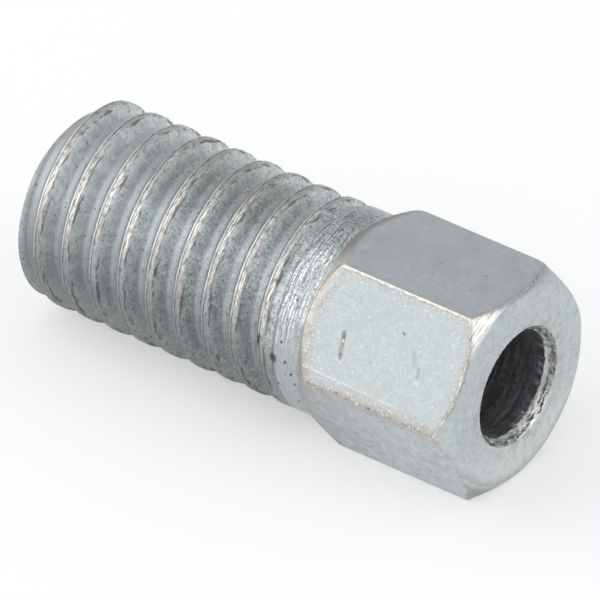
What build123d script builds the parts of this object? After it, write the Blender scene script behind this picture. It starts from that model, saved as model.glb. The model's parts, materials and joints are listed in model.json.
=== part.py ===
"""Hollow hex-head bleeder screw, turned from hexagon bar, with an M8 x 1.25 thread.

The screw lies on one flat of its head. Its axis is X, with the head at +X, and the
origin is on the axis, in the plane where the cone under the head meets the shank.
"""

import os
from math import atan, ceil, cos, degrees, radians, tan

from build123d import *

# Head, cut from hexagon bar
across_flats = 7.85
head_length = 6.93
end_face_diameter = 7.58
end_chamfer_angle = 36.0
under_head_cone_angle = 40.5

# Shank, one diameter for the plain collar and the thread crests
shank_diameter = 7.78
shank_length = 12.72
lead_chamfer = 0.35

# Bore, open at both ends, with a countersunk lip in the end face of the head
bore_diameter = 4.13
bore_lip_diameter = 4.64
bore_lip_depth = 0.37

# Thread, single start and right handed. Its crests stay this much under the nominal diameter
# of 8 mm, which leaves them wider than on the basic profile.
thread_pitch = 1.25
thread_half_angle = 30.0
crest_share = 1 / 8
root_share = 1 / 4
crest_shortfall = 0.22

# The full groove ends this far from the head, under the shank. It then runs out, shallower
# and with less pitch, so that the last crest keeps its width.
collar_length = 1.965
runout_turns = 1.0
runout_pitch = 0.86

# Basic profile of the thread, worked out from its pitch
flank_slope = tan(radians(thread_half_angle))
crest_flat = crest_share * thread_pitch + crest_shortfall * flank_slope
root_flat = root_share * thread_pitch
thread_depth = (thread_pitch - crest_flat - root_flat) / 2 / flank_slope

shank_radius = shank_diameter / 2
root_radius = shank_radius - thread_depth

# The thread tool stands proud of the crests, so that it cuts right through their surface
tool_height = thread_depth + crest_flat / 3
tool_mouth = root_flat + 2 * tool_height * flank_slope

# The thread is cut in a longer blank, which is then faced to the length of the shank. Its
# helix starts at the top and ends underneath, half a turn further round.
cut_turns = ceil((shank_length - collar_length) / thread_pitch) + 0.5
cut_start = -collar_length - cut_turns * thread_pitch
blank_end = cut_start - thread_pitch


def turned_outline(*points):
    """Closed half outline in the upright plane through the axis, as x and radius."""
    with BuildSketch(Plane.XZ) as outline:
        with BuildLine():
            Polyline(*points, close=True)
        make_face()
    return outline.sketch


def head_envelope_corner():
    """Where the cone of the end chamfer and the cone under the head would meet."""
    end_slope = 1 / tan(radians(end_chamfer_angle))
    under_slope = tan(radians(under_head_cone_angle))
    rise = end_face_diameter / 2 + end_slope * head_length - shank_radius
    x = rise / (under_slope + end_slope)
    return x, shank_radius + under_slope * x


def thread_groove(start):
    """Section of the groove where its middle crosses the top of the shank at start."""
    return turned_outline(
        (start - root_flat / 2, root_radius),
        (start - tool_mouth / 2, root_radius + tool_height),
        (start + tool_mouth / 2, root_radius + tool_height),
        (start + root_flat / 2, root_radius),
    )


def thread_path(start, turns, pitch, climb):
    """Right-handed helix from the top of the root at start, climbing out as it goes."""
    length = turns * pitch
    cone_angle = atan(climb / length)
    with BuildLine() as path:
        Helix(
            pitch=pitch / cos(cone_angle),
            height=length,
            radius=root_radius,
            center=(start, 0, 0),
            direction=(1, 0, 0),
            cone_angle=degrees(cone_angle),
        )
    return path.line


with BuildPart() as bleeder_screw:
    # Hexagon bar, lying on a flat
    with BuildSketch(Plane.YZ):
        RegularPolygon(across_flats / 2, 6, major_radius=False)
    extrude(amount=head_length)

    # Both chamfers of the head are cones about the axis
    head_envelope = turned_outline(
        (0, 0),
        (0, shank_radius),
        head_envelope_corner(),
        (head_length, end_face_diameter / 2),
        (head_length, 0),
    )
    revolve(head_envelope, axis=Axis.X, mode=Mode.INTERSECT)

    # Blank of the shank
    blank = turned_outline((0, 0), (0, shank_radius), (blank_end, shank_radius), (blank_end, 0))
    revolve(blank, axis=Axis.X)

    # Full thread
    sweep(
        sections=thread_groove(cut_start),
        path=thread_path(cut_start, cut_turns, thread_pitch, 0),
        is_frenet=True,
        mode=Mode.SUBTRACT,
    )

    # Run-out, where the groove climbs out into the collar, from where the full thread ends
    runout_groove = thread_groove(-collar_length)
    runout_path = thread_path(-collar_length, runout_turns, runout_pitch, tool_height)
    sweep(
        sections=runout_groove.rotate(Axis.X, 180),
        path=runout_path.rotate(Axis.X, 180),
        is_frenet=True,
        mode=Mode.SUBTRACT,
    )

    # Facing to length, with the lead chamfer
    facing = turned_outline(
        (-shank_length, 0),
        (-shank_length, shank_radius - lead_chamfer),
        (lead_chamfer - shank_length + thread_depth, shank_radius + thread_depth),
        (blank_end - thread_pitch, shank_radius + thread_depth),
        (blank_end - thread_pitch, 0),
    )
    revolve(facing, axis=Axis.X, mode=Mode.SUBTRACT)

    # Bore right through, with the cone of its lip
    bore = turned_outline(
        (-shank_length, 0),
        (-shank_length, bore_diameter / 2),
        (head_length - bore_lip_depth, bore_diameter / 2),
        (head_length, bore_lip_diameter / 2),
        (head_length, 0),
    )
    revolve(bore, axis=Axis.X, mode=Mode.SUBTRACT)

bleeder_screw.part.label = "bleeder_screw"

os.makedirs("parts", exist_ok=True)
export_step(bleeder_screw.part, "parts/bleeder_screw.step")
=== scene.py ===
"""Bleeder screw, dressed as zinc-plated steel: smooth plated flats, a rolled thread with worn
crests, a turned collar and a roughly countersunk bore, lit by soft studio panels."""

import json
from math import cos, pi, radians, sin, tan

import bpy
import numpy as np
from mathutils import Matrix, Vector, noise


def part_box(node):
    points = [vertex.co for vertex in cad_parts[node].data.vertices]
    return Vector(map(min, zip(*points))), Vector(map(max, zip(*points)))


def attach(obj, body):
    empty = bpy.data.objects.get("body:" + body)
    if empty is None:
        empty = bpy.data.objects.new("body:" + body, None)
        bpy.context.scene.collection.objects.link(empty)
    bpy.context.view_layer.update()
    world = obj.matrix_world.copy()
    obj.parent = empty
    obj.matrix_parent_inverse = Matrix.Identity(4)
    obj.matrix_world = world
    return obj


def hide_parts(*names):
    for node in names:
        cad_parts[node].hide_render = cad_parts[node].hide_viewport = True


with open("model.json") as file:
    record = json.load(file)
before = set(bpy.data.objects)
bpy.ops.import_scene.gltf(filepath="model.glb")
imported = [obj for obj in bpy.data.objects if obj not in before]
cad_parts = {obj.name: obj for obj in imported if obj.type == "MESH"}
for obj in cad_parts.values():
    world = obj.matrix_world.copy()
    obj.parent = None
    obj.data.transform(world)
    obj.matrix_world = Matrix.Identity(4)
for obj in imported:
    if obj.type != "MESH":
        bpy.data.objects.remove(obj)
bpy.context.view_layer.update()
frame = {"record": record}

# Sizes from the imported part, in millimetres. Its axis is X, with the head at +X.
MM = 0.001
NODE = "bleeder_screw"
node_low, node_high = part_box(NODE)
mount_sizes = {mount["name"]: mount["dims"] for mount in frame["record"]["mounts"]}
thread_end_x = node_low.x / MM
head_end_x = node_high.x / MM
flat_height = node_high.z / MM
bore_radius = mount_sizes["bore"]["r_mm"]
crest_radius = mount_sizes["thread"]["r_mm"]
groove_end_x = thread_end_x + mount_sizes["thread"]["length_mm"]
lip_foot_x = thread_end_x + mount_sizes["bore"]["length_mm"]

# Other sizes of the outline, as the part has them
end_face_radius = 3.79
end_chamfer_slope = tan(radians(36.0))
under_head_slope = tan(radians(40.5))
lip_radius = 2.32
lead_chamfer = 0.35

# Thread profile, as the part has it, with a fillet between each flank and the root
thread_pitch = 1.25
flank_slope = tan(radians(30.0))
crest_flat = thread_pitch / 8 + 0.22 * flank_slope
root_flat = thread_pitch / 4
thread_depth = (thread_pitch - crest_flat - root_flat) / 2 / flank_slope
crest_half = crest_flat / 2
groove_half_mouth = thread_pitch / 2 - crest_half
root_fillet = 0.15
root_flat_half = root_flat / 2 - root_fillet * flank_slope
root_fillet_half = root_fillet * cos(radians(30.0))
crest_edge_round = 0.04

# The full groove ends underneath, and runs out over one more turn, with less pitch. Turns
# are counted from where it would cross the top next if it kept its pitch.
top_groove_x = groove_end_x + thread_pitch / 2
runout_pitch = 0.86
runout_climb = thread_depth + crest_flat / 3
runout_drift = runout_pitch - thread_pitch

# Where the collar begins at the top, and how far that place moves along in a turn
collar_lead = runout_pitch - runout_climb * flank_slope
collar_edge_x = top_groove_x + groove_half_mouth + (runout_drift - runout_climb * flank_slope) / 2

# Rolling leaves a seam along the crests, off their middle
crest_seam_depth = 0.025
crest_seam_half = 0.025
crest_seam_place = -0.065

# Rounding left by plating and handling on the hexagon's corners, at each angle
corner_rounds = {0: 0.16, 60: 0.16, 120: 0.11, 180: 0.36, 240: 0.14, 300: 0.16}

# How far the rounding of the outline's corners reaches back, from under the head to the bore,
# and the most it takes of the shorter side
corner_setbacks = (0.1, 0.05, 0.17, 0.05, 0.05, 0.05, 0.05)
most_setback = 0.45
edge_steps = 4

# One corner is knocked rounder at both its ends, at the rear. The chamfer is fuller beside it.
REAR_CORNER = 60.0
rear_corner_setbacks = (0.6, 0.4)
rear_corner_degrees = 14.0
FULL_CHAMFER = 42.0
full_chamfer_degrees = 24.0
fuller_by = 0.1

# The mesh is a grid of rings round the axis. Its seam runs along the underside.
SEAM = -90.0
FULL_TURN = 360.0
near_corner_degrees = (0.0, 0.35, 0.7, 1.1, 1.7, 2.7)
columns_between = 32
row_return_degrees = 120.0

# Rings of the thread, beside its fillets, groove mouth and crests
past_fillet = 0.04
before_mouth = (0.18, 0.085)
mouth_ring_gap = 0.025
past_seam = 0.03
past_crest_middle = 0.02

# The collar has plain rings, close enough for its turning lines. The thread's rings stop
# this far from them, and spare turns are cut off at both ends.
collar_rings_x = np.linspace(-0.95, 0, 28)
least_ring_gap = 0.015
spare_turns = 3

# The flats in view, by the angle each faces
FRONT_FLAT = 150.0
TOP_FLAT = 90.0
LOW_FLAT = 210.0

# Dents in the front flat: x and sideways place of both ends, half width and depth. Their
# rims are raised, at this many half widths and by this share of the depth.
dents = [
    ((1.68, -0.07), (1.84, 0.90), 0.075, 0.03),
    ((4.55, -0.34), (4.83, 0.10), 0.09, 0.01),
    ((4.93, 0.15), (5.33, 0.52), 0.08, 0.012),
]
flat_slack = 0.2
dent_rim_place = 1.9
dent_rim_share = 0.25

# Widths of the bare metal and of the tan stain beside each edge of the flats in view. A corner
# is named by its angle. A width under 0 leaves less than the edge itself.
WORN = {
    FRONT_FLAT: {"foot": (-0.3, 0.45), "rim": (0.04, 0.12), 120: (0.075, 0.2), 180: (-0.05, 0.45)},
    TOP_FLAT: {"foot": (-0.3, 0.15), "rim": (0.015, 0.05), 120: (-0.02, 0.03), 60: (-0.2, -0.2)},
    LOW_FLAT: {"foot": (-0.3, 0.35), "rim": (0.0, 0.05), 180: (-0.08, 0.25), 240: (-0.1, -0.1)},
}
WORN_ELSEWHERE = (-0.12, -0.1)
EDGES = {"under_head_cone": ["foot"], "flats": ["foot", "rim", "corner"], "end_chamfer": ["rim"]}

# Wear, in millimetres: how deep each kind goes, and how wide its bumps are
WEAR_DEPTHS = dict(
    plating=0.006, mottle=0.0025, edges=0.01, edge_nicks=0.04, crests=0.006, crest_nicks=0.035,
    shank=0.004, turning=0.008, lip=0.012, lip_rim=0.03, drilling=0.012,
)
WEAR_CELLS = dict(broad=2.6, middle=0.9, fine=0.28, turning=0.11, lip=0.16, drilling=0.25)
edge_wear_reach = 0.08
crest_wear_half = 0.15

# Places along each run of the outline: the flats and the bore have more where detail needs it
flat_stretches = [(0.0, 0.19, 7), (0.19, 0.3, 12), (0.3, 0.63, 10), (0.63, 0.81, 10), (0.81, 1, 7)]
flat_rings = [ring for part in flat_stretches for ring in np.linspace(*part, endpoint=False)]
bore_rings = 1 - np.linspace(1, 0, 26, endpoint=False) ** 0.45
RUNS = {
    "under_head_cone": np.arange(5) / 5,
    "flats": flat_rings,
    "end_chamfer": np.arange(6) / 6,
    "end_face": np.arange(16) / 16,
    "lip": np.arange(6) / 6,
    "bore": bore_rings,
    "thread_end_face": np.arange(6) / 6,
}
RUN_FINISHES = {"lip": "torn_lip", "bore": "drilled_bore"}

# Further than anything on the screw is from an edge, or than the groove climbs
OUT_OF_REACH = 9.0


def column_angles():
    """Angles from +Y towards +Z, closer together beside the six corners of the hexagon."""
    last = near_corner_degrees[-1]
    middle = np.linspace(last, 60 - last, columns_between + 1)
    sector = sorted({*near_corner_degrees, *middle, *(60 - d for d in near_corner_degrees[1:])})
    angles = np.concatenate([np.array(sector) + 60 * k for k in range(6)])
    return np.sort((angles - SEAM) % FULL_TURN) + SEAM


def from_angle(angles, middle):
    """Degrees from this angle round the axis, from -180 to 180."""
    return (angles - middle + 180) % FULL_TURN - 180


def corner_angle(angles):
    """Angle from the nearest corner of the hexagon, in radians."""
    return np.radians((angles + 30) % 60 - 30)


def hexagon_radius(angles):
    """Radius of the hexagon with its corners rounded, at each angle."""
    off_corner = corner_angle(angles)
    nearest = (np.round(angles / 60) * 60) % FULL_TURN
    corner_round = np.array([corner_rounds[int(corner)] for corner in nearest])
    centre = (flat_height - corner_round) / cos(pi / 6)
    arc_end = np.arctan2(corner_round * 0.5, centre + corner_round * cos(pi / 6))
    flat = flat_height / np.cos(pi / 6 - np.abs(off_corner))
    under = np.maximum(corner_round**2 - (centre * np.sin(off_corner)) ** 2, 0)
    arc = centre * np.cos(off_corner) + np.sqrt(under)
    return np.where(np.abs(off_corner) < arc_end, arc, flat)


def soft_min(a, b, width):
    """The smaller of two heights, with the corner between them rounded off."""
    near = np.maximum(width - np.abs(a - b), 0) / width
    return np.minimum(a, b) - near * near * width / 4


def thread_offset(x, angle):
    """Number of the nearest groove, and how far x is from the middle of that groove."""
    turns = (x - top_groove_x) / thread_pitch - (angle - 90) / FULL_TURN
    number = np.round(turns)
    return number, (turns - number) * thread_pitch


def runout_share(turned):
    """How far the groove has run out, when it has turned this far past the top."""
    return np.clip(turned / FULL_TURN + 0.5, 0, 1)


def shank_radius(x, angle):
    """Radius of the threaded shank: grooves, run-out, crest seam and lead chamfer."""
    number, offset = thread_offset(x, angle)
    turned = FULL_TURN * number + angle - 90
    share = runout_share(turned)
    off = np.abs(offset - runout_drift * share)
    in_fillet = np.clip(off - root_flat_half, 0, root_fillet_half)
    on_flank = np.maximum(off - root_flat_half - root_fillet_half, 0)
    rise = root_fillet - np.sqrt(root_fillet**2 - in_fillet**2) + on_flank / flank_slope
    climb = np.where(share < 1, runout_climb * share, OUT_OF_REACH)
    groove = crest_radius - thread_depth + rise + climb
    seam_away = (offset - crest_seam_place) % thread_pitch - thread_pitch / 2
    seam = crest_seam_depth * np.exp(-((seam_away / crest_seam_half) ** 2))
    crest = crest_radius - np.where(number * thread_pitch + offset > 0, 0, seam)
    lead = crest_radius - lead_chamfer + (x - thread_end_x)
    return soft_min(soft_min(groove, crest, crest_edge_round), lead, crest_edge_round)


def row_place(offset, turned):
    """Where a ring of the grid lies beside its groove. Rings follow the mouth of the run-out."""
    past_end = np.clip((turned - FULL_TURN / 2) / row_return_degrees, 0, 1)
    share = runout_share(turned) * (1 - past_end)
    narrowing = runout_climb * flank_slope * share
    drift = runout_drift * share
    marks = (-thread_pitch / 2, -groove_half_mouth, 0, groove_half_mouth, thread_pitch / 2)
    moves = (0, narrowing + drift, drift, drift - narrowing, 0)
    for k in range(len(moves) - 1):
        if offset <= marks[k + 1] + 1e-9:
            way = (offset - marks[k]) / (marks[k + 1] - marks[k])
            return offset + moves[k] + (moves[k + 1] - moves[k]) * way
    return offset


def thread_row_offsets():
    """Places of the grid's rings across one pitch, from one groove's middle to the next."""
    root = [0.0, root_flat_half, root_flat_half + 0.5 * root_fillet_half]
    root.append(root_flat / 2 + past_fillet)
    flank = [groove_half_mouth - gap for gap in before_mouth]
    edge = [groove_half_mouth + gap for gap in (-mouth_ring_gap, 0.0, mouth_ring_gap)]
    half = root + flank + edge
    seam_place = thread_pitch / 2 + crest_seam_place
    crest = [seam_place, seam_place + past_seam, thread_pitch / 2 + past_crest_middle]
    return half + crest + [thread_pitch - offset for offset in half[:0:-1]]


def outline_corners(angles):
    """Corners of the outline from the foot of the head, round the bore, to the thread end."""
    ones = np.ones_like(angles)
    hexagon = hexagon_radius(angles)
    under_x = (hexagon - crest_radius) / under_head_slope
    fuller = fuller_by * np.exp(-((from_angle(angles, FULL_CHAMFER) / full_chamfer_degrees) ** 2))
    chamfer_x = head_end_x - (hexagon - end_face_radius - fuller) * end_chamfer_slope
    places = [
        (0 * ones, crest_radius * ones),
        (under_x, hexagon),
        (chamfer_x, hexagon),
        (head_end_x * ones, end_face_radius + 0.5 * fuller),
        (head_end_x * ones, lip_radius * ones),
        (lip_foot_x * ones, bore_radius * ones),
        (thread_end_x * ones, bore_radius * ones),
        (thread_end_x * ones, shank_radius(thread_end_x * ones, angles)),
    ]
    return [np.stack(place, axis=1) for place in places]


def rounded_outline(corners, angles):
    """Rings along the outline, each with the name of its run, and rounded at the corners."""
    names = list(RUNS)
    off_corner = from_angle(angles, REAR_CORNER)
    rear_corner = np.exp(-((off_corner / rear_corner_degrees) ** 2))[:, None]
    rings = []
    start = corners[0]
    for k, name in enumerate(names):
        corner = corners[k + 1]
        rounded = k + 1 < len(names)
        if rounded:
            to_before = corners[k] - corner
            to_after = corners[k + 2] - corner
            length_before = np.linalg.norm(to_before, axis=1, keepdims=True)
            length_after = np.linalg.norm(to_after, axis=1, keepdims=True)
            reach = corner_setbacks[k]
            if k < len(rear_corner_setbacks):
                reach = reach + rear_corner_setbacks[k] * rear_corner
            back = np.minimum(reach, most_setback * np.minimum(length_before, length_after))
            end = corner + to_before / length_before * back
            next_start = corner + to_after / length_after * back
        else:
            end = corner
        rings += [(name, start + (end - start) * share) for share in RUNS[name][1:]]
        if not rounded:
            break
        for step in range(edge_steps + 1):
            t = step / edge_steps
            place = (1 - t) ** 2 * end + 2 * t * (1 - t) * corner + t * t * next_start
            rings.append((name if t <= 0.5 else names[k + 1], place))
        start = next_start
    return rings


def edge_margins(name, place, corners, angles):
    """How far a ring of the head is outside the bare metal and the stain along its edges."""
    margins = np.full((2, len(angles)), OUT_OF_REACH)
    off_corner = np.abs(corner_angle(angles))
    facing = (np.floor(angles / 60) * 60 + 30) % FULL_TURN
    corner = (np.round(angles / 60) * 60) % FULL_TURN
    for edge in EDGES.get(name, ()):
        if edge == "corner":
            distance = flat_height * (tan(pi / 6) - np.tan(pi / 6 - off_corner))
        else:
            distance = np.linalg.norm(place - corners[1 if edge == "foot" else 2], axis=1)
        for j, flat in enumerate(facing):
            key = int(corner[j]) if edge == "corner" else edge
            widths = WORN.get(int(flat), {}).get(key, WORN_ELSEWHERE)
            margins[:, j] = np.minimum(margins[:, j], distance[j] - np.array(widths))
    return margins


class Grid:
    """Vertices and faces of the screw, gathered ring by ring."""

    def __init__(self, angles):
        self.angles = angles
        self.places = []
        self.margins = []
        self.faces = []
        self.finishes = []

    def add_ring(self, place, margins):
        """One vertex for each angle. Returns their numbers."""
        first = len(self.places)
        turn = np.radians(self.angles)
        x, radius = place.T
        self.places += list(zip(x, radius * np.cos(turn), radius * np.sin(turn)))
        self.margins += list(margins.T)
        return np.arange(first, first + len(self.angles))

    def add_vertex(self, x, radius, angle):
        """A single vertex of the shank. Returns its number."""
        self.places.append((x, radius * cos(radians(angle)), radius * sin(radians(angle))))
        self.margins.append((OUT_OF_REACH, OUT_OF_REACH))
        return len(self.places) - 1

    def add_face(self, finish, *numbers):
        """A face without its repeated vertices, if three are left."""
        kept = list(dict.fromkeys(int(number) for number in numbers))
        if len(kept) > 2:
            self.faces.append(kept)
            self.finishes.append(finish)

    def join_rings(self, finish, ring, after):
        """A closed band of faces between two rings."""
        count = len(self.angles)
        for j in range(count):
            k = (j + 1) % count
            self.add_face(finish, ring[j], ring[k], after[k], after[j])


def add_thread(grid, first_ring, last_ring):
    """Rings that wind along the thread, cut off square at the two rings given."""
    offsets = thread_row_offsets()
    per_pitch = len(offsets)
    turns = int((collar_rings_x[0] - thread_end_x) / thread_pitch)
    numbers = range(-turns - spare_turns, spare_turns)
    rows = [(number, offset) for number in numbers for offset in offsets]

    # Beyond the middle of a crest, a ring belongs to the next groove
    rows = [(n + 1, d - thread_pitch) if d > thread_pitch / 2 else (n, d) for n, d in rows]
    count = len(grid.angles)
    last = count - 1
    numbers = np.zeros((len(rows), count), int)
    for j, angle in enumerate(grid.angles):
        turned = [FULL_TURN * number + angle - 90 for number, _ in rows]
        along = [
            top_groove_x + thread_pitch * turn / FULL_TURN + row_place(offset, turn)
            for turn, (_, offset) in zip(turned, rows)
        ]
        radius = shank_radius(np.array(along), angle)
        for i, x in enumerate(along):
            if x <= thread_end_x + least_ring_gap:
                numbers[i, j] = first_ring[j]
            elif x >= collar_rings_x[0] - least_ring_gap:
                numbers[i, j] = last_ring[j]
            else:
                numbers[i, j] = grid.add_vertex(x, radius[i], angle)
    for i in range(len(rows) - 1):
        for j in range(last):
            low, high = numbers[i, j : j + 2], numbers[i + 1, j : j + 2]
            grid.add_face("plated_thread", low[0], low[1], high[1], high[0])
        k = i + per_pitch
        if k + 1 < len(rows):
            low, high = numbers[[i, k], [last, 0]], numbers[[i + 1, k + 1], [last, 0]]
            grid.add_face("plated_thread", low[0], low[1], high[1], high[0])


def screw_grid():
    """The whole screw as one closed grid, in millimetres."""
    grid = Grid(column_angles())
    corners = outline_corners(grid.angles)
    far = np.full((2, len(grid.angles)), OUT_OF_REACH)
    foot = grid.add_ring(corners[0], far)
    ring = foot
    for name, place in rounded_outline(corners, grid.angles):
        after = grid.add_ring(place, edge_margins(name, place, corners, grid.angles))
        grid.join_rings(RUN_FINISHES.get(name, "plated_hexagon"), ring, after)
        ring = after
    thread_end = grid.add_ring(corners[-1], far)
    grid.join_rings("plated_hexagon", ring, thread_end)
    collar = np.ones(len(grid.angles))
    rings = [
        grid.add_ring(np.stack([x * collar, crest_radius * collar], axis=1), far)
        for x in collar_rings_x[:-1]
    ]
    for ring, after in zip(rings, rings[1:] + [foot]):
        grid.join_rings("plated_thread", ring, after)
    add_thread(grid, thread_end, rings[0])
    return grid


def noise_at(places, cell):
    """Smooth noise from about -1 to 1, with bumps about as wide as the cell, in millimetres."""
    return np.array([noise.noise(Vector(place) / cell) for place in places])


def ragged(values, start, end):
    """0 below start, 1 above end and a smooth step between them."""
    share = np.clip((values - start) / (end - start), 0, 1)
    return share * share * (3 - 2 * share)


def dent_depth(places):
    """Depth of the dents at each place on the front flat."""
    turn = radians(FRONT_FLAT)
    out = np.array([0, cos(turn), sin(turn)])
    side = np.array([0, -sin(turn), cos(turn)])
    flat_places = np.stack([places[:, 0], places @ side], axis=1)
    on_flat = (places @ out > flat_height - flat_slack) & (places[:, 0] > 0)
    depth = np.zeros(len(places))
    for start, end, half_width, deepest in dents:
        start, end = np.array(start), np.array(end)
        along = end - start
        share = np.clip((flat_places - start) @ along / (along @ along), 0, 1)
        away = np.linalg.norm(flat_places - start - share[:, None] * along, axis=1)
        shape = np.exp(-((away / half_width) ** 2)) * on_flat
        rim = np.exp(-((away / half_width - dent_rim_place) ** 2)) * on_flat
        depth += deepest * (shape - dent_rim_share * rim)
    return depth


def wear(places, bare_margins):
    """How far each place is worn below the clean form, in millimetres."""
    x, y, z = places.T
    radius = np.hypot(y, z)
    angle = np.degrees(np.arctan2(z, y))
    deep, cells = WEAR_DEPTHS, WEAR_CELLS
    broad = noise_at(places, cells["broad"])
    middle = noise_at(places, cells["middle"])
    fine = noise_at(places + 7.0, cells["fine"])
    on_shank = (x < 0) & (radius > bore_radius + 0.3) & (x > thread_end_x + 0.01)
    in_lip = (x > lip_foot_x - 0.05) & (radius < lip_radius + 0.12)
    in_bore = (radius < bore_radius + 0.02) & ~in_lip

    amount = deep["plating"] * (1 + broad) + deep["mottle"] * (1 + middle)
    near_edge = np.exp(-((np.maximum(bare_margins, 0) / edge_wear_reach) ** 2))
    nicks = ragged(middle + 0.6 * fine, 0.45, 0.9)
    amount += near_edge * (deep["edges"] * (1 + fine) + deep["edge_nicks"] * nicks)

    number, offset = thread_offset(x, angle)
    from_crest = thread_pitch / 2 - np.abs(offset)
    threaded = number * thread_pitch + offset < 0
    on_crest = on_shank * threaded * np.exp(-((from_crest / crest_wear_half) ** 4))
    nicks = ragged(middle + 0.7 * fine, 0.5, 1.0)
    amount += on_crest * (deep["crests"] * (1 + fine) + deep["crest_nicks"] * nicks)
    amount += on_shank * deep["shank"] * (1 + fine)

    on_collar = on_shank * ragged(x, -1.5, -1.1)
    turning = noise_at(np.stack([x, 0.12 * y, 0.12 * z], axis=1), cells["turning"])
    amount += on_collar * deep["turning"] * (1 + turning)

    torn = noise_at(places * (1, 1.3, 1.3) + 1.7, cells["lip"])
    inside_rim = ragged(radius, lip_radius + 0.02, lip_radius - 0.08)
    amount += in_lip * (deep["lip"] + deep["lip_rim"] * inside_rim) * (torn + 0.5 * fine)
    drill = noise_at(np.stack([x, radius, 0 * x], axis=1) + 5.1, cells["drilling"])
    amount += in_bore * deep["drilling"] * drill
    return amount + dent_depth(places)


def screw_mesh():
    """The screw's mesh: its clean form, worn along its normals, kept inside the part's box."""
    grid = screw_grid()
    mesh = bpy.data.meshes.new("plated_screw")
    places = np.array(grid.places)
    mesh.from_pydata((places * MM).tolist(), [], grid.faces)
    normals = np.zeros(len(places) * 3)
    mesh.vertices.foreach_get("normal", normals)
    bare_margins, stain_margins = np.array(grid.margins).T
    amount = wear(places, bare_margins)
    places = places - amount[:, None] * normals.reshape(-1, 3)
    low = (thread_end_x, places[:, 1].min(), -flat_height)
    high = (head_end_x, places[:, 1].max(), flat_height)
    places = np.clip(places, low, high)
    mesh.vertices.foreach_set("co", (places * MM).ravel())
    for name, values in (("bare_margin", bare_margins), ("stain_margin", stain_margins)):
        mesh.attributes.new(name, "FLOAT", "POINT").data.foreach_set("value", values)
    finishes = list(dict.fromkeys(grid.finishes))
    for finish in finishes:
        mesh.materials.append(FINISHES[finish]())
    mesh.polygons.foreach_set("material_index", [finishes.index(f) for f in grid.finishes])
    mesh.shade_smooth()
    mesh.update()
    return mesh


def colour(code):
    """Linear colour with alpha, from an sRGB hex code."""
    channels = [int(code[k : k + 2], 16) / 255 for k in (1, 3, 5)]
    linear = [c / 12.92 if c <= 0.04045 else ((c + 0.055) / 1.055) ** 2.4 for c in channels]
    return (*linear, 1.0)


def add(tree, kind, inputs=(), **settings):
    """A new shader node with its settings. Its open inputs are filled in order, or by name."""
    node = tree.nodes.new("ShaderNode" + kind)
    for name, value in settings.items():
        setattr(node, name, value)
    if isinstance(inputs, dict):
        pairs = [(node.inputs[name], value) for name, value in inputs.items()]
    else:
        pairs = zip([socket for socket in node.inputs if socket.enabled], inputs)
    for socket, value in pairs:
        if isinstance(value, bpy.types.Node):
            value = next(output for output in value.outputs if output.enabled)
        if isinstance(value, bpy.types.NodeSocket):
            tree.links.new(value, socket)
        else:
            socket.default_value = value
    return node


def screw_place(tree):
    """A place on the screw in millimetres, as itself, as x and as the distance from the axis,
    and its turn from the top towards the front."""
    metres = add(tree, "TexCoord").outputs["Object"]
    place = add(tree, "VectorMath", (metres, (1 / MM,) * 3), operation="MULTIPLY")
    x, y, z = add(tree, "SeparateXYZ", (place,)).outputs
    squares = [add(tree, "Math", (axis, axis), operation="MULTIPLY") for axis in (y, z)]
    squared = add(tree, "Math", squares, operation="ADD")
    radius = add(tree, "Math", (squared, 0.5), operation="POWER")
    front = add(tree, "Math", (y, -1.0), operation="MULTIPLY")
    angle = add(tree, "Math", (front, z), operation="ARCTAN2")
    turn = add(tree, "Math", (angle, 2 * pi), operation="DIVIDE")
    return place, x, radius, turn


def thread_place(tree, x, turn):
    """Number of grooves from the run-out, and how far the place is from the middle of the
    nearest crest, towards the head."""
    along = add(tree, "Math", (x, top_groove_x), operation="SUBTRACT")
    pitches = add(tree, "Math", (along, thread_pitch), operation="DIVIDE")
    grooves = add(tree, "Math", (pitches, turn), operation="SUBTRACT")
    share = add(tree, "Math", (grooves,), operation="FRACT")
    centred = add(tree, "Math", (share, 0.5), operation="SUBTRACT")
    from_crest = add(tree, "Math", (centred, thread_pitch), operation="MULTIPLY")
    return grooves, from_crest


def layered(tree, base, layers):
    """Colours the base by each layer in turn: a colour, its strength, and masks for where."""
    for code, strength, *masks in layers:
        share = both(tree, *masks, strength)
        base = add(tree, "Mix", (share, base, colour(code)), data_type="RGBA")
    return base


def streaks(tree, across, turn, width, length, detail=3.0):
    """Noise drawn out round the axis, with lines about this wide and long, in millimetres."""
    rounds = 2 * pi * crest_radius / length
    lines = add(tree, "Math", (across, 1 / width), operation="MULTIPLY")
    reach = add(tree, "Math", (turn, rounds), operation="MULTIPLY")
    vector = add(tree, "CombineXYZ", (lines, reach, 0.0))
    return add(tree, "TexNoise", (vector, 1.0, detail, 0.6))


# Detail and roughness of the noise for crisp and for softer grains
CRISP = (5.0, 0.7)
SOFTER = (5.0, 0.65)


def grains(tree, place, size, detail=3.0, roughness=0.6):
    """Noise with grains about this size, in millimetres."""
    return add(tree, "TexNoise", (place, 1 / size, detail, roughness))


def dots(tree, place, spacing, radius, share):
    """1 in round dots, which stand in this share of cells of this spacing, in millimetres."""
    cells = add(tree, "TexVoronoi", (place, 1 / spacing))
    inside = add(tree, "MapRange", (cells, radius / spacing, 0.4 * radius / spacing))
    pick = add(tree, "SeparateXYZ", (cells.outputs["Color"],))
    chosen = add(tree, "Math", (pick, share), operation="LESS_THAN")
    return both(tree, inside, chosen)


def line_at(tree, value, middle, half_width):
    """1 where the value is at the middle, down to 0 at this far from it."""
    away = add(tree, "Math", (value, middle), operation="SUBTRACT")
    away = add(tree, "Math", (away,), operation="ABSOLUTE")
    return add(tree, "MapRange", (away, half_width, 0.4 * half_width))


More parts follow.
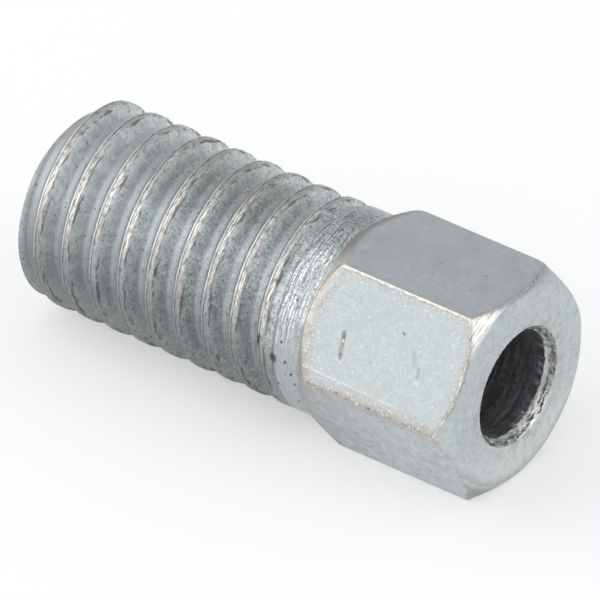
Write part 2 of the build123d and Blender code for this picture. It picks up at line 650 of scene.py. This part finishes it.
def both(tree, *masks):
    """All of these masks at once: nodes, numbers, or values with where each is 0 and 1."""
    nodes = [add(tree, "MapRange", mask) if isinstance(mask, tuple) else mask for mask in masks]
    first, *others = nodes
    for mask in others:
        first = add(tree, "Math", (first, mask), operation="MULTIPLY")
    return first


def any_of(tree, masks):
    """Where at least one of these masks is."""
    first, *others = masks
    for mask in others:
        first = add(tree, "Math", (first, mask), operation="MAXIMUM")
    return first


def flat_place(tree, place, facing):
    """Places on one flat as x and sideways, and 1 on that flat only. It faces this angle."""
    turn = radians(facing)
    out = (0, cos(turn), sin(turn))
    side = (0, -sin(turn), cos(turn))
    x = add(tree, "SeparateXYZ", (place,))
    sideways = add(tree, "VectorMath", (place, side), operation="DOT_PRODUCT").outputs["Value"]
    height = add(tree, "VectorMath", (place, out), operation="DOT_PRODUCT").outputs["Value"]
    on_flat = add(tree, "Math", (height, flat_height - 0.12), operation="GREATER_THAN")
    return add(tree, "CombineXYZ", (x, sideways, 0.0)), on_flat


def shank_spot(tree, x, turn, at_x, angle, half_width, half_turn):
    """1 in a patch of the shank, at this x and angle, down to 0 at its edges."""
    along = line_at(tree, x, at_x, half_width)
    around = line_at(tree, turn, (angle - TOP_FLAT) / FULL_TURN, half_turn)
    return both(tree, along, around)


def mark(tree, spot, start, end, half_width):
    """1 along a line on a flat, with soft sides and ends."""
    start, end = Vector((*start, 0)), Vector((*end, 0))
    along = end - start
    from_start = add(tree, "VectorMath", (spot, start), operation="SUBTRACT")
    per_length = along / along.length_squared
    reach = add(tree, "VectorMath", (from_start, per_length), operation="DOT_PRODUCT")
    share = add(tree, "Clamp", (reach.outputs["Value"],))
    foot = add(tree, "VectorMath", {"Vector": along, "Scale": share}, operation="SCALE")
    away = add(tree, "VectorMath", (from_start, foot), operation="DISTANCE")
    return add(tree, "MapRange", (away.outputs["Value"], half_width, 0.3 * half_width))


def finish_metal(material, base, roughness, height, relief):
    """Links a metal's colour, roughness and relief. The relief's depth is in millimetres."""
    tree = material.node_tree
    bump = add(tree, "Bump", {"Strength": 1.0, "Distance": relief * MM, "Height": height})
    shader = add(
        tree,
        "BsdfPrincipled",
        {"Base Color": base, "Metallic": 1.0, "Roughness": roughness, "Normal": bump},
    )
    add(tree, "OutputMaterial", (shader,))
    return material


def bare_material(name):
    """A material with an empty node tree."""
    material = bpy.data.materials.new(name)
    material.use_nodes = True
    material.node_tree.nodes.clear()
    return material, material.node_tree


# Turns from the top of the corner above the front flat, and of the side given painted highlights
FRONT_CORNER = (120 - TOP_FLAT) / FULL_TURN
LIT_SIDE_TURN = (132 - TOP_FLAT) / FULL_TURN

# Where parts of the finish, of the painted light and of the painted shade start and where
# they are whole, in millimetres, along x, up from the axis or out from it
LOW_FLAT_SHADE = (4.0, 0.5)
LIT_UNDERSIDE = (-0.8, -2.8)
SHADED_LOW_CHAMFER = (-2.2, -3.3)
SHADED_LOW_RIM = (-1.5, -2.6)
STAINED_BY_BORE = (3.0, 2.4)
SHADED_RIM_BAND = (end_face_radius - 0.35, end_face_radius)
ROUGH_FLANKS = (-10.5, -5.0)
ROUGH_ROOTS = (-10.0, -6.5)

# The same in turns from the top: turning lines painted fainter underneath, where less light
# falls, and painted shade underneath
LINES_FADE_UNLIT = (0.15, 0.22)
SHADE_UNDERNEATH = (0.16, 0.28)

# A darker patch over the top of the middle turns: x, angle, half width along the axis and
# reach each way in turns
THREAD_DARKER_TOP = (-5.4, 96, 4.2, 0.09)

# Small marks on the flats: x and sideways place of both ends, half width, colour, strength
FRONT_MARKS = [
    ((1.70, 0.10), (1.80, 0.74), 0.12, "#A3988C", 0.7),
    ((1.80, 0.76), (1.84, 0.90), 0.085, "#5A5551", 0.6),
    ((1.67, -0.03), (1.72, 0.16), 0.095, "#5E5954", 0.7),
    ((1.73, 0.27), (1.74, 0.31), 0.055, "#FFFFFF", 0.7),
    ((1.76, 0.36), (1.77, 0.40), 0.05, "#6A645F", 0.6),
    ((4.60, -0.34), (4.83, 0.10), 0.14, "#9AA29F", 0.4),
    ((5.02, 0.15), (5.06, 0.45), 0.10, "#8D9298", 0.5),
    ((5.06, 0.62), (5.16, 0.70), 0.08, "#F2F6F6", 0.4),
    ((3.96, -0.84), (4.02, -0.82), 0.075, "#6A635E", 0.75),
    ((3.05, 0.60), (3.10, 0.62), 0.07, "#9CA3A5", 0.6),
    ((3.54, 2.18), (3.60, 2.18), 0.07, "#5F5B57", 0.7),
    ((2.12, 2.10), (2.16, 2.10), 0.07, "#6B6763", 0.7),
    ((0.53, 1.66), (2.40, 1.70), 0.05, "#F2F5F4", 0.35),
    ((2.40, 1.70), (4.60, 1.75), 0.045, "#F2F5F4", 0.25),
    ((3.15, 1.43), (3.83, 1.68), 0.16, "#CDBFA9", 0.4),
    ((1.1, -1.35), (2.3, -1.15), 0.04, "#A9B0B2", 0.5),
]
TOP_MARKS = [
    ((5.19, -0.24), (5.24, -0.24), 0.09, "#7E8488", 0.6),
    ((3.58, 0.77), (3.63, 0.77), 0.08, "#8A9094", 0.5),
    ((5.29, 0.80), (5.34, 0.80), 0.08, "#8A9094", 0.5),
    ((3.43, 0.08), (3.48, 0.08), 0.08, "#8A9094", 0.5),
]

# Places where the worn crests get their brightest painted highlights: x, angle and reach
# each way in degrees
highlit_half_width = 0.8
HIGHLIT_CRESTS = [
    (-11.9, 131, 24),
    (-10.6, 143, 28),
    (-9.4, 127, 20),
    (-8.2, 100, 12),
    (-8.05, 143, 24),
    (-6.8, 121, 20),
    (-5.6, 121, 22),
    (-4.3, 117, 24),
    (-2.9, 106, 10),
    (-2.9, 153, 22),
    (-1.9, 99, 12),
    (-1.6, 153, 28),
]

# Pits in and beside the collar: x, angle, half width along the axis and half length round it
SHANK_PITS = [
    (-1.11, 180.5, 0.21, 0.24),
    (-0.56, 180.0, 0.06, 0.09),
    (-0.78, 169.0, 0.06, 0.07),
    (-0.30, 186.5, 0.07, 0.09),
    (-0.17, 192.7, 0.06, 0.07),
    (-0.20, 207.0, 0.07, 0.07),
    (-1.81, 173.0, 0.13, 0.3),
    (-1.94, 168.4, 0.06, 0.12),
    (-1.53, 216.5, 0.06, 0.09),
]


def plated_hexagon():
    """Zinc plating on smooth drawn bar: satin and finely mottled, with bare bright metal on
    the handled edges and tan stains beside them."""
    material, tree = bare_material("zinc_plated_hexagon")
    place, x, radius, turn = screw_place(tree)
    up = add(tree, "SeparateXYZ", (place,)).outputs["Z"]
    clouds = grains(tree, place, 1.6)
    mottle = grains(tree, place, 0.26, *SOFTER)
    grit = grains(tree, place, 0.08, detail=2.0)
    base = layered(tree, colour("#BAC1C3"), [
        ("#CBD1D3", 1.0, (mottle, 0.36, 0.64)),
        ("#BFC3CB", 0.4, (clouds, 0.42, 0.65)),
        ("#9CA3A6", 0.35, (grit, 0.48, 0.3)),
    ])

    # Bright crystals and sparks of zinc on the front, partly painted glints where that flat faces
    # the light, and pits that stay dark
    on_front = flat_place(tree, place, FRONT_FLAT)[1]
    crystals_and_glints = dots(tree, place, spacing=0.3, radius=0.055, share=0.35)
    sparks = (grit, 0.62, 0.72)
    pits = dots(tree, place, spacing=0.6, radius=0.09, share=0.22)
    base = layered(tree, base, [
        ("#F0F4F3", 0.6, crystals_and_glints, on_front),
        ("#EEF2F1", 0.5, sparks, on_front),
        ("#8A8F92", 0.5, pits),
    ])

    # The top flat is a little more lavender. The lower flat is darker beside the cone, dusty
    # and frosted.
    on_top_flat = flat_place(tree, place, TOP_FLAT)[1]
    on_low_flat = flat_place(tree, place, LOW_FLAT)[1]
    smears = (clouds, 0.46, 0.6)
    shaded = (x, *LOW_FLAT_SHADE)
    dusty = (grains(tree, place, 0.3, *CRISP), 0.5, 0.66)
    frosty = (grains(tree, place, 0.4, *CRISP), 0.5, 0.62)
    base = layered(tree, base, [
        ("#CAC9D3", 0.3, on_top_flat),
        ("#9A9BA2", 0.12, smears, on_top_flat),
        ("#989DA1", 0.4, shaded, on_low_flat),
        ("#868D90", 0.45, dusty, on_low_flat),
        ("#E9EDED", 0.3, frosty, on_low_flat),
    ])

    # End face: painted light on its side underneath, tan stains beside the bore, and specks of
    # dirt
    on_face = add(tree, "MapRange", (x, head_end_x - 0.08, head_end_x - 0.03))
    lit_underneath = (up, *LIT_UNDERSIDE)
    by_bore = (radius, *STAINED_BY_BORE)
    patches = (grains(tree, place, 0.7), 0.48, 0.62)
    specks = dots(tree, place, spacing=0.26, radius=0.05, share=0.5)
    base = layered(tree, base, [
        ("#DDE2E2", 0.7, lit_underneath, on_face),
        ("#A79E8C", 0.55, patches, by_bore, on_face),
        ("#9AA2A2", 0.45, dusty, on_face),
        ("#6F7679", 0.6, specks, on_face),
    ])

    # End chamfer: burnished white beside the front corner, with a painted highlight there too,
    # dark strokes along its foot, and painted shade underneath, as on the lower rim of the end
    # face
    chamfered = add(tree, "Math", (radius, end_chamfer_slope, x), operation="MULTIPLY_ADD")
    past_rim = head_end_x + end_face_radius * end_chamfer_slope
    on_end = add(tree, "MapRange", (chamfered, past_rim - 0.06, past_rim - 0.01))
    off_face = (radius, end_face_radius + 0.08, end_face_radius + 0.2)
    near_corner = both(tree, line_at(tree, turn, FRONT_CORNER, 0.062), on_end)
    burnished_and_highlit = both(tree, near_corner, off_face)
    rounds = streaks(tree, radius, turn, width=0.07, length=1.6)
    strokes = (rounds, 0.5, 0.4)
    low = (up, *SHADED_LOW_CHAMFER)
    lower = (up, *SHADED_LOW_RIM)
    outside = (radius, *SHADED_RIM_BAND)
    base = layered(tree, base, [
        ("#EEEEEA", 1.0, (burnished_and_highlit, 0.0, 0.8)),
        ("#8B847B", 0.6, strokes, near_corner),
        ("#8E9396", 0.7, low, off_face, on_end),
        ("#A29F9B", 0.6, lower, outside, on_face),
    ])

    # Cone under the head: darker at the top, and painted light in front
    coned = add(tree, "Math", (radius, -1 / under_head_slope, x), operation="MULTIPLY_ADD")
    foot = -crest_radius / under_head_slope
    on_cone = (coned, foot + 0.34, foot + 0.08)
    on_head = add(tree, "Math", (x, -0.1), operation="GREATER_THAN")
    on_top = line_at(tree, turn, 0.0, 0.13)
    lit_in_front = line_at(tree, turn, 0.13, 0.09)
    base = layered(tree, base, [
        ("#7F7774", 0.7, on_cone, on_head, on_top),
        ("#F6F2EE", 0.85, on_cone, on_head, lit_in_front),
    ])

    # Tan stains and bare metal, with ragged limits, at the distances that the mesh gives
    stain_margin = add(tree, "Attribute", attribute_name="stain_margin").outputs["Fac"]
    bare_margin = add(tree, "Attribute", attribute_name="bare_margin").outputs["Fac"]
    blotches = grains(tree, place, 0.34, *CRISP)
    ragged_stain = add(tree, "Math", (blotches, 1.1, stain_margin), operation="MULTIPLY_ADD")
    stain = (ragged_stain, 0.75, 0.3)
    darkest = (both(tree, ragged_stain, blotches), 0.16, 0.08)
    near_stain = (ragged_stain, 0.8, 0.4)
    flecks = (grit, 0.58, 0.66)
    ragged_bare = add(tree, "Math", (mottle, 0.3, bare_margin), operation="MULTIPLY_ADD")
    ragged_bare = add(tree, "Math", (grit, 0.12, ragged_bare), operation="MULTIPLY_ADD")
    beside = line_at(tree, ragged_bare, 0.25, 0.045)
    dark_limit = (both(tree, beside, blotches), 0.4, 0.6)
    bare = add(tree, "MapRange", (ragged_bare, 0.24, 0.17))
    base = layered(tree, base, [
        ("#B5A898", 0.42, stain),
        ("#9A8D80", 0.3, darkest),
        ("#F4F2EE", 0.65, flecks, near_stain, on_front),
        ("#8D7F73", 0.6, dark_limit),
        ("#E8E3DB", 1.0, bare),
    ])

    broken = (grit, 0.32, 0.5, 0.35, 1.0)
    for facing, marks in ((FRONT_FLAT, FRONT_MARKS), (TOP_FLAT, TOP_MARKS)):
        spot, on_flat = flat_place(tree, place, facing)
        for start, end, half_width, code, strength in marks:
            drawn = mark(tree, spot, start, end, half_width)
            base = layered(tree, base, [(code, strength, drawn, on_flat, broken)])

    satin = add(tree, "MapRange", (mottle, 0.3, 0.7, 0.32, 0.46))
    roughness = add(tree, "Math", (bare, -0.12, satin), operation="MULTIPLY_ADD")
    height = add(tree, "Math", (grit, 0.35, mottle), operation="MULTIPLY_ADD")
    return finish_metal(material, base, roughness, height, relief=0.006)


def plated_thread():
    """Zinc plating on a rolled thread: dull scaly flanks, smooth roots, crests worn to a warm
    grey with painted highlights in strokes, painted shade underneath, and a collar with the
    lines of the turning tool, painted bright on the lit side."""
    material, tree = bare_material("zinc_plated_thread")
    place, x, radius, turn = screw_place(tree)
    grooves, from_crest = thread_place(tree, x, turn)
    clouds = grains(tree, place, 1.1)
    mottle = grains(tree, place, 0.24, *CRISP)
    grit = grains(tree, place, 0.1, detail=3.0, roughness=0.7)
    drawn = streaks(tree, x, turn, width=0.05, length=0.8)
    threaded = add(tree, "Math", (grooves, 0.0), operation="LESS_THAN")
    lit_side = line_at(tree, turn, LIT_SIDE_TURN, 0.13)

    # Flanks: scaly, and rougher towards the head
    rougher = (x, *ROUGH_FLANKS, 0.4, 1.0)
    scales = (grit, 0.52, 0.38)
    sparks = (grit, 0.58, 0.68)
    clouded = (clouds, 0.5, 0.68)
    blotches = (grains(tree, place, 0.42, *SOFTER), 0.5, 0.62)
    pale = (grains(tree, place, 0.55, *SOFTER), 0.5, 0.62)
    base = layered(tree, colour("#C3CACC"), [
        ("#E6EAEB", 1.0, (mottle, 0.38, 0.62)),
        ("#858D90", 0.7, scales, rougher),
        ("#F6F8F8", 0.6, sparks, rougher),
        ("#949B9E", 0.4, clouded),
        ("#868D90", 0.4, blotches, rougher),
        ("#F0F3F3", 0.3, pale),
    ])

    # Roots: smooth lavender grey, without a clear limit. Dark specks are all over.
    root_top = crest_radius - thread_depth + 0.04
    softened = add(tree, "Math", (mottle, 0.3, radius), operation="MULTIPLY_ADD")
    in_root = (softened, root_top + 0.3, root_top + 0.1)
    smoother = (x, *ROUGH_ROOTS, 0.75, 0.45)
    specks = dots(tree, place, spacing=0.2, radius=0.055, share=0.35)
    base = layered(tree, base, [("#BDBFC7", 1.0, in_root, smoother), ("#565C5E", 0.6, specks)])

    # Crests: grey and grainy, worn, with painted highlights in front
    sway = add(tree, "Math", (clouds, 0.16, from_crest), operation="MULTIPLY_ADD")
    wavy = add(tree, "Math", (mottle, 0.06, sway), operation="MULTIPLY_ADD")
    wavy = add(tree, "Math", (wavy, 0.11), operation="SUBTRACT")
    patchy = (grains(tree, place, 0.8), 0.36, 0.56, 0.35, 1.0)
    grain = streaks(tree, x, turn, width=0.07, length=0.32, detail=5.0)
    from_band = add(tree, "Math", (wavy, 0.03), operation="SUBTRACT")
    from_band = add(tree, "Math", (from_band,), operation="ABSOLUTE")
    frayed = add(tree, "Math", (grain, 0.28, from_band), operation="MULTIPLY_ADD")
    band = both(tree, (frayed, 0.30, 0.21), threaded)
    grey = (both(tree, band, patchy), 0.0, 0.8)
    patches = [
        shank_spot(tree, x, turn, at_x, angle, highlit_half_width, reach / FULL_TURN)
        for at_x, angle, reach in HIGHLIT_CRESTS
    ]
    highlighting = any_of(tree, [both(tree, lit_side, 0.4), *patches])
    # Worn crests, with painted highlights where they face the light
    worn = both(tree, band, (grain, 0.46, 0.55), highlighting)

    # Along each crest a broken brown line towards the head, and the dark seam with a painted
    # highlight along the narrow lip beyond it. The top of the middle turns is darker.
    dull = (grain, 0.47, 0.38)
    strokes = streaks(tree, x, turn, width=0.1, length=1.0, detail=4.0)
    brown = line_at(tree, wavy, crest_half + 0.03, 0.05)
    broken = (strokes, 0.5, 0.58)
    seam = line_at(tree, from_crest, crest_seam_place, 0.035)
    whole = (drawn, 0.38, 0.46)
    lip = line_at(tree, from_crest, -0.108, 0.035)
    unbroken = (strokes, 0.42, 0.52, 0.1, 1.0)
    shine = (lit_side, 0.0, 1.0, 0.3, 1.0)
    darker_top = shank_spot(tree, x, turn, *THREAD_DARKER_TOP)
    smeared = (mottle, 0.42, 0.58, 0.25, 1.0)
    base = layered(tree, base, [
        ("#BDB9B8", 0.85, grey),
        ("#F7F4EC", 0.9, (worn, 0.0, 0.9)),
        ("#716A62", 0.6, dull, band),
        ("#5F564D", 0.75, brown, broken, threaded),
        ("#55514E", 0.65, seam, whole, threaded),
        ("#FAFAF8", 0.85, lip, unbroken, shine, threaded),
        ("#777770", 0.4, darker_top, smeared),
    ])

    # Where the run-out leaves off, the collar begins: lines left by a turning tool, with painted
    # highlights on the front and painted fainter underneath, and pits. The thread's underside has
    # painted shade.
    collar_start = add(tree, "Math", (turn, -collar_lead, x), operation="MULTIPLY_ADD")
    collar = add(tree, "MapRange", (collar_start, collar_edge_x - 0.03, collar_edge_x + 0.03))
    lines_fade_unlit = (turn, *LINES_FADE_UNLIT, 1.0, 0.35)
    jogged = add(tree, "Math", (mottle, 0.1, x), operation="MULTIPLY_ADD")
    lines = streaks(tree, jogged, turn, width=0.06, length=1.1, detail=4.0)
    dark_lines = (lines, 0.47, 0.37)
    bright_lines = (lines, 0.5, 0.6)
    turned = layered(tree, colour("#B9BFC2"), [
        ("#747A7C", 0.75, dark_lines, lines_fade_unlit),
        ("#FFFFFD", 1.0, bright_lines, lit_side),
        ("#757C7E", 0.8, scales, lines_fade_unlit),
    ])
    base = add(tree, "Mix", (collar, base, turned), data_type="RGBA")
    pits = dots(tree, place, spacing=0.36, radius=0.08, share=0.4)
    round_shank = 2 * pi * crest_radius
    deep_pits = [
        shank_spot(tree, x, turn, at_x, angle, half_width, half_length / round_shank)
        for at_x, angle, half_width, half_length in SHANK_PITS
    ]
    crumbled = (grit, 0.3, 0.45, 1.0, 0.7)
    deep_pits = (both(tree, any_of(tree, deep_pits), crumbled), 0.0, 0.7)
    # Painted shade on the underside of the thread
    shade_underneath = (turn, *SHADE_UNDERNEATH)
    base = layered(tree, base, [
        ("#43484A", 0.8, pits, collar),
        ("#2E3234", 0.9, deep_pits),
        ("#5A6062", 0.55, shade_underneath, threaded),
    ])

    scaly = add(tree, "MapRange", (mottle, 0.3, 0.7, 0.42, 0.56))
    bright = any_of(tree, [worn, collar])
    roughness = add(tree, "Math", (bright, -0.16, scaly), operation="MULTIPLY_ADD")
    height = add(tree, "Math", (drawn, 0.8, mottle), operation="MULTIPLY_ADD")
    height = add(tree, "Math", (grit, 0.5, height), operation="MULTIPLY_ADD")
    return finish_metal(material, base, roughness, height, relief=0.009)


def torn_lip():
    """Countersink cut with a blunt tool: torn grey metal with dirt in its hollows, stained and
    with painted shade at the top of its rim, and scrapes painted bright as a highlight on the lit
    side."""
    material, tree = bare_material("torn_bore_lip")
    place, _, radius, turn = screw_place(tree)
    chips = grains(tree, place, 0.26, detail=4.0, roughness=0.65)
    jogged = add(tree, "Math", (chips, 0.12, radius), operation="MULTIPLY_ADD")
    rounds = streaks(tree, jogged, turn, width=0.06, length=1.1, detail=4.0)
    hollows = add(tree, "MapRange", (rounds, 0.52, 0.42))
    outer = line_at(tree, jogged, lip_radius - 0.02, 0.13)
    # Stain with painted shade at the top of the rim; the lit side gets a painted highlight
    stained_and_shaded = line_at(tree, turn, -0.26, 0.16)
    torn = any_of(tree, [hollows, both(tree, stained_and_shaded, 0.45)])
    lit_side = line_at(tree, turn, -0.42, 0.11)
    scraped = (rounds, 0.46, 0.54)
    edge = line_at(tree, radius, bore_radius + 0.03, 0.07)
    smoothed = (lit_side, 0.0, 1.0, 0.75, 0.2)
    base = layered(tree, colour("#A3A8A8"), [
        ("#D9DBDA", 1.0, (chips, 0.42, 0.6)),
        ("#4B4642", 0.9, torn, outer),
        ("#7E6F5E", 0.4, hollows, stained_and_shaded),
        ("#FAFAF8", 0.95, scraped, lit_side),
        ("#C8CBCC", 1.0, edge, smoothed),
    ])
    roughness = add(tree, "MapRange", (chips, 0.3, 0.7, 0.48, 0.3))
    return finish_metal(material, base, roughness, chips, relief=0.03)


def drilled_bore():
    """Drilled bore that the plating hardly reached: dark steel with faint marks of the drill."""
    material, tree = bare_material("drilled_bore")
    place, x, _, turn = screw_place(tree)
    marks = streaks(tree, x, turn, width=0.16, length=3.0)
    grit = grains(tree, place, 0.14)
    drawn_out = add(tree, "VectorMath", (place, (0.5, 4.0, 4.0)), operation="MULTIPLY")
    along = add(tree, "TexNoise", (drawn_out, 1.0, 3.0))
    base = layered(tree, colour("#8E8E93"), [
        ("#C6C7CC", 1.0, (marks, 0.42, 0.68)),
        ("#E2E3E8", 0.2, (along, 0.54, 0.7)),
        ("#6C6C70", 0.6, (grit, 0.5, 0.66)),
    ])
    return finish_metal(material, base, 0.55, marks, relief=0.012)


FINISHES = {
    "plated_hexagon": plated_hexagon,
    "plated_thread": plated_thread,
    "torn_lip": torn_lip,
    "drilled_bore": drilled_bore,
}


def new_object(name, data):
    """An object with this mesh, lamp or camera, in the scene."""
    made = bpy.data.objects.new(name, data)
    bpy.context.scene.collection.objects.link(made)
    return made


screw = new_object("plated_screw", screw_mesh())
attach(screw, "root")
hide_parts(NODE)

# Studio: a pale floor, dim light all round, a big soft panel over the screw's front and two
# small ones at its ends. A panel has a direction, a distance, a side and a level.
floor_half = 0.9
floor_z = node_low.z
surround_level = 0.72
floor_glow = 0.45
PANELS = {
    "front_panel": ((-0.484, -0.6, 0.64), 0.3, 0.44, 0.63),
    "head_end_panel": ((0.93, 0.15, 0.33), 0.3, 0.13, 1.7),
    "thread_end_panel": ((-1.0, -0.05, 0.12), 0.3, 0.12, 0.95),
}


def studio_floor():
    """Wide pale floor under the screw."""
    mesh = bpy.data.meshes.new("floor")
    corners = [(-floor_half, -floor_half), (floor_half, -floor_half)]
    corners += [(floor_half, floor_half), (-floor_half, floor_half)]
    mesh.from_pydata([(x, y, floor_z) for x, y in corners], [], [(0, 1, 2, 3)])
    mesh.materials.append(pale_floor())
    floor = new_object("floor", mesh)


def pale_floor():
    """Matt white paper, which shows as white to the eye and in the metal, with the shadow."""
    material, tree = bare_material("pale_floor")
    paper = add(tree, "BsdfDiffuse", {"Color": colour("#D0D0D0")})
    rays = add(tree, "LightPath")
    kinds = ("Is Camera Ray", "Is Glossy Ray", "Is Transmission Ray")
    seen = any_of(tree, [rays.outputs[kind] for kind in kinds])
    glow_level = add(tree, "Math", (seen, floor_glow), operation="MULTIPLY")
    glow = add(tree, "Emission", {"Color": colour("#FFFFFF"), "Strength": glow_level})
    lit_paper = add(tree, "AddShader", (paper, glow))
    add(tree, "OutputMaterial", (lit_paper,))
    return material


def soft_panel(name, toward, distance, side, level):
    """Square lamp that faces the screw from this direction."""
    lamp = bpy.data.lights.new(name, "AREA")
    lamp.size = side
    lamp.energy = level * pi * side**2
    toward = Vector(toward).normalized()
    turn = toward.to_track_quat("Z", "Y").to_matrix().to_4x4()
    new_object(name, lamp).matrix_world = Matrix.Translation(toward * distance) @ turn


def surround():
    """Even dim light from all round."""
    world = bpy.data.worlds.new("surround")
    world.use_nodes = True
    tree = world.node_tree
    tree.nodes.clear()
    light = add(tree, "Background", {"Color": colour("#F6F8F8"), "Strength": surround_level})
    add(tree, "OutputWorld", (light,))
    bpy.context.scene.world = world


studio_floor()
for panel_name, panel_place in PANELS.items():
    soft_panel(panel_name, *panel_place)
surround()

# Camera: a long lens from the photograph's side, a little rolled, as the photograph is
camera_right = Vector((0.80338, 0.59526, 0.01571))
camera_up = Vector((-0.34686, 0.44636, 0.82489))
camera_back = camera_right.cross(camera_up)
picture_middle = Vector((-0.518, -3.075, 2.280)) * MM
picture_width = 21.34 * MM
camera_distance = 0.8
sensor_width = 36

lens = bpy.data.cameras.new("camera")
lens.sensor_width = sensor_width
lens.lens = sensor_width * camera_distance / picture_width
lens.clip_start = 0.1
lens.clip_end = 5
camera = new_object("camera", lens)
camera_turn = Matrix((camera_right, camera_up, camera_back)).transposed().to_4x4()
camera_place = picture_middle + camera_back * camera_distance
camera.matrix_world = Matrix.Translation(camera_place) @ camera_turn
bpy.context.scene.camera = camera
bpy.context.scene.view_settings.view_transform = "Standard"
